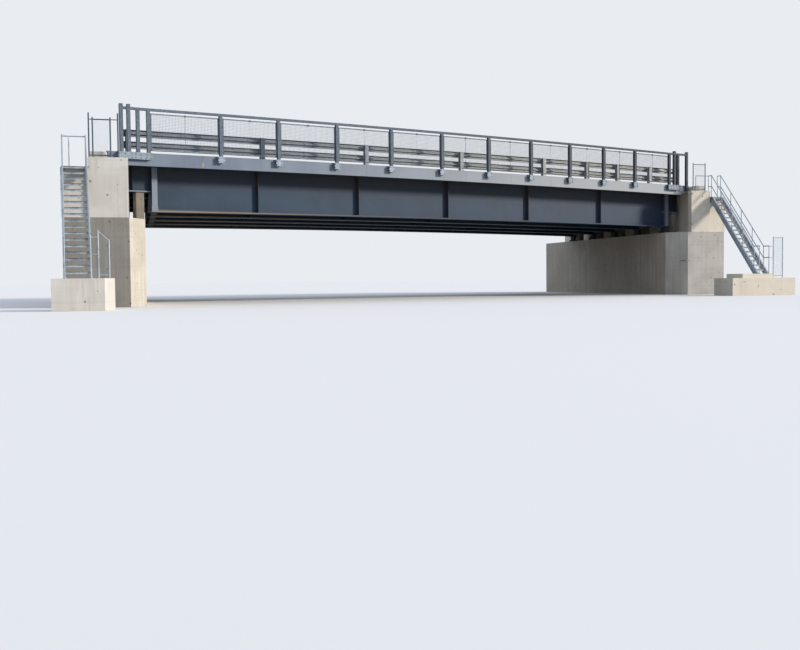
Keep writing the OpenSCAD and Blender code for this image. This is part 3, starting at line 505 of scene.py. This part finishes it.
def painted_steel(name, body, faded, roughness, rust=0.0, dust_and_sheen=0.0, grime_and_shade=0.0):
    """Two-pack epoxy paint on mill plate: even colour with faint runs; rust, dust with painted sheen, and a
    girder's painted shade, rust and dust where asked.
    """
    material, tree, surface, turned = new_finish(name)
    body, faded = shade(body), shade(faded)
    cloud = add(tree, "TexNoise", {
        "Vector": turned, "Scale": 0.7, "Detail": 4.0, "Roughness": 0.55}).outputs["Fac"]
    colour = lay_tone(tree, body, faded, (cloud, 0.35, 0.65))
    # Runs 110 mm wide, in which the paint has faded
    runs = streaks(tree, turned, (9, 9, 0.6), 3.0, 0.5)
    colour = lay_tone(tree, colour, faded, (runs, 0.5, 0.8), 0.4)
    if rust:
        patch = add(tree, "TexNoise", {
            "Vector": turned, "Scale": 2.4, "Detail": 6.0, "Roughness": 0.7}).outputs["Fac"]
        colour = lay_tone(tree, colour, shade("#6d4a33"), (patch, 0.6, 0.7), rust)
    if dust_and_sheen:
        # Dust and painted sheen, thicker towards the right abutment
        colour = lay_tone(tree, colour, shade("#a9abab"), toward_right(tree, turned), dust_and_sheen)
    if grime_and_shade:
        colour = girder_shade_and_grime(tree, turned, colour, runs, grime_and_shade)
    # Orange peel of 8 mm, drawn coarser than the real 2 mm
    peel = add(tree, "TexNoise", {"Vector": turned, "Scale": 120.0, "Detail": 2.0}).outputs["Fac"]
    bump = add(tree, "Bump", {"Height": peel, "Strength": 0.12, "Distance": 0.002}).outputs["Normal"]
    sheen = add(tree, "MapRange", {
        "Value": cloud, "To Min": roughness - 0.08, "To Max": roughness + 0.08}).outputs["Result"]
    feed(tree, surface, {
        "Base Color": colour, "Normal": bump, "Roughness": sheen, "Specular IOR Level": 0.3})
    return material


def zinc_steel(name, body, pale, roughness, metal, fold_light_and_shade=0.0, right=""):
    """Hot-dip galvanised steel, weathered: crystal spangle in the grey, dull sheen, darker damp marks."""
    material, tree, surface, turned = new_finish(name)
    # Spangle crystals of 25 mm, which is large for zinc but lets it show
    spangle = add(tree, "TexVoronoi", {"Vector": turned, "Scale": 40.0}).outputs["Color"]
    crystal = add(tree, "SeparateColor", {"Color": spangle}).outputs
    colour = lay_tone(tree, shade(body), shade(pale), crystal["Red"])
    damp = add(tree, "TexNoise", {
        "Vector": turned, "Scale": 1.8, "Detail": 5.0, "Roughness": 0.6}).outputs["Fac"]
    colour = lay_tone(tree, colour, shade("#5d6468"), (damp, 0.45, 0.75), 0.45)
    if right:
        # The zinc turns to another tone towards the right abutment
        colour = lay_tone(tree, colour, shade(right), toward_right(tree, turned), 0.75)
    if fold_light_and_shade:
        # Painted light on folds that turn up, painted shade under folds that turn down
        way = add(tree, "SeparateXYZ", {"Vector": add(tree, "NewGeometry").outputs["Normal"]}).outputs
        colour = lay_tone(tree, colour, shade("#b7b5ab"), (way["Z"], 0.1, 0.5), fold_light_and_shade)
        colour = lay_tone(tree, colour, shade("#2e3843"), (way["Z"], -0.1, -0.5), fold_light_and_shade)
    sheen = add(tree, "MapRange", {
        "Value": crystal["Green"], "To Min": roughness - 0.1, "To Max": roughness + 0.1}).outputs["Result"]
    feed(tree, surface, {"Base Color": colour, "Roughness": sheen, "Metallic": metal})
    return material


def laminated_rubber(name):
    """Cast rubber with steel sheets in it: dull black, in level bands."""
    material, tree, surface, turned = new_finish(name)
    bands = add(tree, "TexWave", {
        "Vector": turned, "Scale": 30.0, "Distortion": 0.4}, bands_direction="Z").outputs["Fac"]
    colour = lay_tone(tree, shade("#2c2c2d"), shade("#3d3b39"), bands)
    feed(tree, surface, {"Base Color": colour, "Roughness": 0.75})
    return material


# Paler and warmer towards the right abutment: painted sunlight
UPPER_CONCRETE = cast_concrete(
    "upper concrete, form cast", "#dfdbd3", "#cfcac1", "#aba498", joints=0.2, sunlit_warmth=0.4)
# Near faces darker, most at the left abutment: painted shade
STEM_CONCRETE = cast_concrete(
    "stem concrete, weathered", "#d4d0c8", "#beb9b0", "#8f887d", joints=0.3, near_face_shade=0.8, planks=0.5)
# Darker than the other concrete: damp stains and painted shade
PEDESTAL_CONCRETE = cast_concrete("pedestal concrete, damp stained", "#8f887c", "#777065", "#4e483f")
DECK_CONCRETE = cast_concrete("deck concrete, brushed", "#b5b0a7", "#a39e95", "#88827a", pits=0.2)
# Darker webs under the slab: painted shade
GIRDER_PAINT = painted_steel(
    "girder paint, blue grey epoxy", "#253649", "#2f4155", 0.6, rust=0.12, grime_and_shade=0.6)
POST_PAINT = painted_steel("end post paint, sun-bleached epoxy", "#737d8b", "#808996", 0.55)
# Paler towards the right abutment: dust and painted sheen
FASCIA_PAINT = painted_steel("fascia paint, grey epoxy", "#667284", "#75818f", 0.5, rust=0.1, dust_and_sheen=0.6)
# Darker towards the right abutment: painted shade on the railing
RAIL_ZINC = zinc_steel("railing steel, galvanised", "#3c4754", "#697584", 0.68, 0.2, right="#161d28")
CLAMP_ZINC = zinc_steel(
    "clamp plates, galvanised and dusty", "#6a7684", "#98a3ae", 0.5, 0.3, right="#566270")
# Paler up-turned folds and darker down-turned ones: painted light and shade
GUARD_ZINC = zinc_steel(
    "guard rail steel, galvanised and weathered", "#5f6b78", "#949da6", 0.5, 0.3, fold_light_and_shade=0.8,
    right="#b5b6b2")
STAIR_ZINC = zinc_steel("stair steel, galvanised", "#98a2ad", "#b7c0c8", 0.42, 0.5)
TREAD_ZINC = zinc_steel("tread gratings, galvanised", "#98a2ac", "#bdc5cc", 0.5, 0.25)
FENCE_ZINC = zinc_steel(
    "fence tubes, galvanised and dull", "#3d4651", "#57626e", 0.6, 0.3, right="#8f98a1")
BEARING_RUBBER = laminated_rubber("bearing rubber, laminated")

# Lime and rust that leak from a seam: a chalky crust in two yellowish greys, with the paint's skin
LEAK_CRUST = painted_steel("lime and rust leak", "#aaa184", "#d9d1b8", 0.9)

# Finish of each node, by the first of these words that its name holds
FINISHES = {
    "stem": STEM_CONCRETE, "backwall": UPPER_CONCRETE, "near_wing": UPPER_CONCRETE,
    "far_wing": UPPER_CONCRETE, "stair_pad": UPPER_CONCRETE, "pedestals": PEDESTAL_CONCRETE,
    "bearings": BEARING_RUBBER, "girder": GIRDER_PAINT, "cross_frames": GIRDER_PAINT,
    "end_posts": POST_PAINT, "deck_slab": DECK_CONCRETE, "fascia": FASCIA_PAINT, "guard": GUARD_ZINC,
    "rail_posts": RAIL_ZINC, "top_rail": RAIL_ZINC, "mesh_panels": RAIL_ZINC, "brackets": CLAMP_ZINC,
    "stair_stringers": STAIR_ZINC, "stair_treads": STAIR_ZINC, "stair_handrails": STAIR_ZINC,
    "fence": FENCE_ZINC,
}
for name, node in nodes.items():
    finish = next(made for part, made in FINISHES.items() if part in name)
    node.data.materials.clear()
    node.data.materials.append(finish)

# Posts of the railing and the guard rail along the near edge, in the drawing
edge_left = x_at(-HALF_CLEAR - DECK_BACK, -HALF_W)
edge_right = x_at(HALF_CLEAR + DECK_BACK, -HALF_W)
rail_posts = places(RAIL_BAYS, edge_left + RAIL_IN[0], edge_right - RAIL_IN[1])
guard_posts = places(GUARD_BAYS, edge_left + GUARD_IN[0], edge_right - GUARD_IN[1])
left_posts = [rail_posts[0] - past for past in reversed((0,) + LEFT_GROUP)]
right_posts = [rail_posts[-1] + past for past in (0,) + RIGHT_GROUP]


def panel_bar(mesh, start, end, thick, shift=0.0):
    """Bar of a railing panel between two points x, z, which the camber lifts."""
    ends = [(x, RAIL_Y + shift, z + lift(x, RAIL_Y)) for x, z in (start, end)]
    bar(mesh, *ends, thick)


def panel_holds(mesh, x0, x1, low, high):
    """Clip over the middle of a panel's top bar, and two lugs to each post."""
    mid = (x0 + x1) / 2
    up = lift(mid, RAIL_Y)
    under = (mid - CLIP_L / 2, RAIL_Y - CLIP_W / 2, high - CLIP_DOWN + up)
    plate(mesh, under, (mid + CLIP_L / 2, RAIL_Y + CLIP_W / 2, high + CLIP_UP + up))
    for x in (x0 - PANEL_GAP, x1):
        for z in (low + LUG_IN, high - LUG_IN):
            z += lift(x, RAIL_Y)
            under = (x, RAIL_Y - LUG_W / 2, z - LUG_H / 2)
            plate(mesh, under, (x + PANEL_GAP, RAIL_Y + LUG_W / 2, z + LUG_H / 2))


def mesh_panels():
    """Framed railing panels with welded wires, and what holds each panel."""
    mesh = bmesh.new()
    low, high = FASCIA_TOP + PANEL_FOOT, RAIL_TOP - PANEL_DROP
    inner_low, inner_high = low + BAR_W / 2, high - BAR_W / 2
    for post, after in zip(rail_posts, rail_posts[1:]):
        x0, x1 = post + POST_W / 2, after - POST_W / 2
        for z in (inner_low, inner_high):
            panel_bar(mesh, (x0, z), (x1, z), BAR_W)
        x0, x1 = x0 + PANEL_GAP, x1 - PANEL_GAP
        for x, thick in ((x0 + BAR_W / 2, BAR_W), (x1 - BAR_W / 2, BAR_W), ((x0 + x1) / 2, MID_BAR_W)):
            panel_bar(mesh, (x, inner_low), (x, inner_high), thick)
        for x in spaced(x0, x1, WIRE_PITCH):
            panel_bar(mesh, (x, low), (x, high), WIRE_T, UPRIGHT_WIRE_Y)
        for z in spaced(low, high, WIRE_PITCH):
            panel_bar(mesh, (x0, z), (x1, z), WIRE_T, LEVEL_WIRE_Y)
        panel_holds(mesh, x0, x1, low, high)
    return mesh


def stud(mesh, x, z):
    """Long bolt through both clamp plates of a railing post, with its nuts."""
    back, front = -HALF_W - CLAMP_T, -HALF_W - 2 * CLAMP_T - POST_W
    rod(mesh, (x, back + STUD_IN, z), (x, front - STUD_OUT, z), STUD_D)
    for face in (front, back):
        bolt(mesh, (x, face, z), (0, -1, 0), STUD_NUT)


def clamp_bolts():
    """Studs of the clamp plates: two pairs at each bay post, and pairs among the posts of an end group."""
    mesh = bmesh.new()
    xs = [x + side for x in rail_posts[1:-1] for side in (-STUD_SIDE, STUD_SIDE)]
    for group in (left_posts, right_posts):
        xs += [group[0] - STUD_BESIDE_POST, group[-1] + STUD_BESIDE_POST]
        for post, after in zip(group, group[1:]):
            if after - post > WIDE_GAP:
                xs += [post + STUD_BESIDE_POST, after - STUD_BESIDE_POST]
            else:
                xs.append((post + after) / 2)
    for x in xs:
        for drop in STUD_DROPS:
            stud(mesh, x, CLAMP_TOP - drop + lift(x, RAIL_Y))
    return mesh


def fascia_seams():
    """Weld seams between the fascia's plates."""
    mesh = bmesh.new()
    for x in SEAMS:
        up = lift(x, -HALF_W)
        low = (x - SEAM_W / 2, -HALF_W - SEAM_T, FASCIA_LOW + up)
        plate(mesh, low, (x + SEAM_W / 2, -HALF_W, FASCIA_TOP - SEAM_T + up))
    return mesh


def seam_leak():
    """Crust of lime and rust that hangs from the left seam of the near fascia."""
    mesh = bmesh.new()
    x = SEAMS[0]
    up = lift(x, -HALF_W)
    for shift, wide, top, foot in LEAK_LUMPS:
        lump = bmesh.ops.create_icosphere(mesh, subdivisions=2, radius=0.5)["verts"]
        size = Matrix.Diagonal((wide, LEAK_T, top - foot, 1))
        at = Matrix.Translation((x + shift, -HALF_W - LEAK_OUT, (top + foot) / 2 + up))
        bmesh.ops.transform(mesh, matrix=at @ size, verts=lump)
    return mesh


def nib_lit_edges():
    """Pale strips on the edges of the near girder's shallow ends: painted sunlight."""
    mesh = bmesh.new()
    edge_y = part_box("girder_1")[0].y + NIB_SET
    for x0, x1 in NIB_ENDS:
        plate(mesh, (x0, edge_y - NIB_PAINT_T, NIB_Z[0]), (x1, edge_y, NIB_Z[1]))
    return mesh


def beam_point(x, depth, height, low):
    """Point on the back of a guard beam, at shares of its depth and height."""
    return Vector((x, GUARD_Y + depth * (BEAM_D - BEAM_T), low + height * BEAM_H))


def beam_lap(mesh, mid, low):
    """Sheet lapped over the back of a beam at a splice, with its bolts."""
    x0, x1 = mid - LAP_L / 2, mid + LAP_L / 2
    section = HALF_SECTION + tuple((depth, 1 - height) for depth, height in reversed(HALF_SECTION))
    line = [mesh.verts.new(beam_point(x0, depth, height, low)) for depth, height in section]
    edges = [mesh.edges.new(pair) for pair in zip(line, line[1:])]
    sheet = bmesh.ops.extrude_edge_only(mesh, edges=edges)["geom"]
    points = [part for part in sheet if isinstance(part, bmesh.types.BMVert)]
    bmesh.ops.translate(mesh, verts=points, vec=(x1 - x0, 0, 0))
    faces = [part for part in sheet if isinstance(part, bmesh.types.BMFace)]
    bmesh.ops.recalc_face_normals(mesh, faces=faces)
    bmesh.ops.solidify(mesh, geom=faces, thickness=LAP_T if faces[0].normal.y > 0 else -LAP_T)
    for depth, height in LAP_BOLTS:
        for x in (x0 + LAP_BOLT_IN, x1 - LAP_BOLT_IN):
            at = beam_point(x, depth, height, low)
            rod(mesh, at, at + Vector((0, BEAM_T + LAP_HEAD_H, 0)), LAP_HEAD_W, 10)
            rod(mesh, at, at - Vector((0, LAP_NUT_H, 0)), LAP_NUT_W, 6)


def post_cap(mesh, x, up):
    """Cap plate that stands a little over a guard rail post, with its bolts."""
    head = DECK_Z + GUARD_POST_H + up
    back = GUARD_Y - GUARD_POST_W
    plate(mesh, (x - CAP_W / 2, back - CAP_BACK, head - CAP_DOWN), (x + CAP_W / 2, GUARD_Y, head + CAP_UP))
    for side in (-CAP_BOLT_SIDE, CAP_BOLT_SIDE):
        bolt(mesh, (x + side, (back + GUARD_Y) / 2, head + CAP_UP), (0, 0, 1), CAP_BOLT_W)


def post_anchors(mesh, x, up):
    """Anchor bolts at the corners of a guard rail post's base plate."""
    top = DECK_Z + GUARD_BASE_T + up
    for side in (-ANCHOR_SIDE, ANCHOR_SIDE):
        for row in (-ANCHOR_SIDE, ANCHOR_SIDE):
            y = GUARD_Y - GUARD_POST_W / 2 + row
            bolt(mesh, (x + side, y, top), (0, 0, 1), ANCHOR_NUT)
            rod(mesh, (x + side, y, top), (x + side, y, top + ANCHOR_H), ANCHOR_D)


def guard_fittings():
    """Bolt heads where beams cross a post, cap plates and anchors of the posts, and the beams' splices."""
    mesh = bmesh.new()
    for x in guard_posts:
        up = lift(x, GUARD_Y)
        for low in GUARD_LOWS:
            for side in (-BEAM_BOLT_SIDE, BEAM_BOLT_SIDE):
                at = beam_point(x + side, VALLEY, 0.5, low + up) + Vector((0, BEAM_T, 0))
                rod(mesh, at, at + Vector((0, BEAM_BOLT_H, 0)), BEAM_BOLT_W, 10)
        post_cap(mesh, x, up)
        post_anchors(mesh, x, up)
    for x in SPLICES:
        for low in GUARD_LOWS:
            beam_lap(mesh, x, low + lift(x, GUARD_Y))
    return mesh


def grating_treads(width):
    """Open bar gratings: nosing, lip, end plates bolted to the stringers, bearing bars and cross bars."""
    mesh = bmesh.new()
    n0, n1 = STRINGER_W, width - STRINGER_W
    for i in range(RISERS):
        z = LANDING_Z - i * RISER
        back = -i * GOING
        front = back - TREAD_D
        plate(mesh, (n0, front, z - NOSING_H), (n1, front + NOSING_W, z))
        plate(mesh, (n0, front, z - LIP_H), (n1, front + LIP_T, z))
        for n in (n0, n1 - END_PLATE_T):
            plate(mesh, (n, front, z - END_PLATE_H), (n + END_PLATE_T, back, z))
        low, high = (z - depth for depth in BEARING_SPAN)
        for k in range(1, BEARING_BARS + 1):
            c = front + NOSING_W + (TREAD_D - NOSING_W) * k / BEARING_BARS
            plate(mesh, (n0, c - BEARING_T, low), (n1, c, high))
        low, high = (z - depth for depth in CROSS_SPAN)
        for n in spaced(n0, n1, CROSS_PITCH):
            plate(mesh, (n - CROSS_T / 2, front + CROSS_IN, low), (n + CROSS_T / 2, back, high))
    return mesh


def flange(mesh, n, c, z):
    """Round foot flange of a tube post with three bolts."""
    top = z + FLANGE_T
    rod(mesh, (n, c, z), (n, c, top), FLANGE_D, 20)
    for turn in FLANGE_BOLT_TURNS:
        at = (n + FLANGE_BOLT_R * math.cos(turn), c + FLANGE_BOLT_R * math.sin(turn), top)
        bolt(mesh, at, (0, 0, 1), FLANGE_BOLT_W)


def stair_fittings(width, lone_post):
    """Tread bolts on the stringers' webs, and foot flanges of the handrail posts on concrete."""
    mesh = bmesh.new()
    for n, out in ((STRINGER_W - STRINGER_T, -1), (width - STRINGER_W + STRINGER_T, 1)):
        for i in range(RISERS):
            for share in TREAD_BOLTS:
                at = (n, -i * GOING - TREAD_D * share, LANDING_Z - i * RISER - TREAD_BOLT_DROP)
                bolt(mesh, at, (out, 0, 0), TREAD_BOLT_W)
    for n in (HANDRAIL_IN, width - HANDRAIL_IN):
        flange(mesh, n, NEWEL_C, PAD_Z)
        flange(mesh, n, WING_T / 2, LANDING_Z)
    lone_n, lone_z = lone_post
    flange(mesh, lone_n, WING_T / 2, lone_z)
    return mesh


def chain_link(width, low, tops):
    """Woven wire fabric in diamonds with 60 mm sides, drawn as two sets of crossed diagonals."""
    mesh = bmesh.new()
    height = max(tops)
    for turn in (-1, 1):
        y = turn * LINK_Y
        for k in range(1, math.ceil((width + height) / LINK_PITCH)):
            start = k * LINK_PITCH - height
            first, last = max(0, start), min(width, start + height)
            if last - first < SHORTEST_WIRE:
                continue
            n0, n1 = (first, last) if turn > 0 else (width - first, width - last)
            bar(mesh, (n0, y, first - start), (n1, y, last - start), LINK_T)
    # Cut to a level foot, and to a top that may slope
    for point, out in (((0, 0, low), (0, 0, -1)), ((0, 0, tops[0]), (tops[0] - tops[1], 0, width))):
        everything = mesh.verts[:] + mesh.edges[:] + mesh.faces[:]
        cut = bmesh.ops.bisect_plane(
            mesh, geom=everything, dist=0.0001, plane_co=point, plane_no=out, clear_outer=True)
        rims = [part for part in cut["geom_cut"] if isinstance(part, bmesh.types.BMEdge)]
        bmesh.ops.holes_fill(mesh, edges=rims, sides=0)
    return mesh


def chain_panel(name, matrix, n0, n1, c, z, low, tops):
    """Wire fabric in the plane c of a stair or a wing wall, from n0 to n1, over the level z."""
    place = matrix @ Matrix.Translation((n0, c, z))
    put(chain_link(n1 - n0, low, tops), name, STAIR_ZINC, place)


for side, matrix in (("near", DRAWN), ("far", FAR)):
    put(mesh_panels(), side + "_welded_panels", RAIL_ZINC, matrix, [side + "_mesh_panels"])
    put(clamp_bolts(), side + "_clamp_bolts", CLAMP_ZINC, matrix)
    put(guard_fittings(), side + "_guard_fittings", GUARD_ZINC, matrix)
    put(fascia_seams(), side + "_fascia_seams", FASCIA_PAINT, matrix)
put(seam_leak(), "near_seam_leak", LEAK_CRUST)
# Pale strips on the nib edges: painted sunlight
put(nib_lit_edges(), "nib_lit_edges", POST_PAINT, Matrix.Identity(4))

for stair in STAIRS:
    side, width = stair["side"], stair["width"]
    wall = near_face(side + "_near_wing")
    mirrored = SQUARE @ Matrix.Diagonal((stair["sign"], 1, 1, 1))
    top = mirrored @ Matrix.Translation((stair["n"], wall + RETURN_SET, 0))
    turn = Matrix.Rotation(stair["turn"], 4, "Z")
    flight = top @ turn
    treads, fittings = grating_treads(width), stair_fittings(width, stair["lone_post"])
    put(treads, side + "_grating_treads", TREAD_ZINC, flight, [side + "_stair_treads"])
    put(fittings, side + "_stair_fittings", STAIR_ZINC, flight)
    post = turn @ Vector((stair["foot_post"], LAST_C, 0))
    foot_n = [post.x + end for end in stair["foot_ends"]]
    chain_panel(
        side + "_foot_fabric", top, *foot_n, post.y, stair["foot_z"], FOOT_LOW, stair["foot_tops"])
    chain_panel(
        side + "_fence_fabric", mirrored, *stair["fence_ends"], wall + WING_T / 2, WING_Z[side],
        FENCE_LOW, FENCE_TOPS)

camera_data = bpy.data.cameras.new("camera")
camera_data.lens = LENS
camera_data.sensor_width = 36
camera_data.clip_end = 500
camera = bpy.data.objects.new("camera", camera_data)
bpy.context.scene.collection.objects.link(camera)
heading = Matrix.Rotation(math.radians(EYE_HEADING), 4, "Z")
pitch = Matrix.Rotation(math.radians(90 - EYE_DOWN), 4, "X")
roll = Matrix.Rotation(math.radians(EYE_ROLL), 4, "Z")
camera.matrix_world = Matrix.Translation(DECK_MID + Vector(EYE)) @ heading @ pitch @ roll
bpy.context.scene.camera = camera

floor_mesh = bmesh.new()
bmesh.ops.create_grid(floor_mesh, x_segments=1, y_segments=1, size=FLOOR_REACH)
floor_mesh.transform(Matrix.Translation((0, 0, -FLOOR_DROP)))
floor_data = bpy.data.meshes.new("floor")
floor_mesh.to_mesh(floor_data)
floor_mesh.free()
floor = bpy.data.objects.new("floor", floor_data)
bpy.context.scene.collection.objects.link(floor)


def pale_for_view(tree, dim, pale):
    """Colour that is pale where the camera, gloss or glass sees it, and dim where it lights the bridge."""
    path = add(tree, "LightPath").outputs
    seen = add(tree, "Math", {
        0: path["Is Camera Ray"], 1: path["Is Glossy Ray"]}, operation="ADD").outputs[0]
    seen = add(tree, "Math", {
        0: seen, 1: path["Is Transmission Ray"]}, operation="ADD", use_clamp=True).outputs[0]
    return lay_tone(tree, dim, pale, seen)


# Pale floor that keeps the shadow
floor_finish = bpy.data.materials.new("studio floor")
floor_finish.use_nodes = True
floor_tree = floor_finish.node_tree
floor_tone = pale_for_view(floor_tree, shade("#a29e96"), shade("#e3e2e0"))
floor_glow = pale_for_view(floor_tree, shade("#000000"), shade("#bcbcbc"))
feed(floor_tree, floor_tree.nodes["Principled BSDF"], {
    "Base Color": floor_tone, "Roughness": 1.0,
    "Emission Color": floor_glow, "Emission Strength": FLOOR_GLOW})
floor_data.materials.append(floor_finish)

world = bpy.data.worlds.new("studio")
bpy.context.scene.world = world
world.use_nodes = True
sky = pale_for_view(world.node_tree, shade("#bfcbdf"), shade("#e9edf2"))
feed(world.node_tree, world.node_tree.nodes["Background"], {"Color": sky, "Strength": 1.0})

sun_data = bpy.data.lights.new("sun", "SUN")
sun_data.energy = SUN_STRENGTH
sun_data.angle = math.radians(SUN_DISC)
sun_data.color = SUN_COLOUR
sun = bpy.data.objects.new("sun", sun_data)
bpy.context.scene.collection.objects.link(sun)
sun.rotation_mode = "QUATERNION"
sun.rotation_quaternion = Vector(TOWARD_SUN).to_track_quat("Z", "Y")

bpy.context.scene.view_settings.view_transform = "Standard"
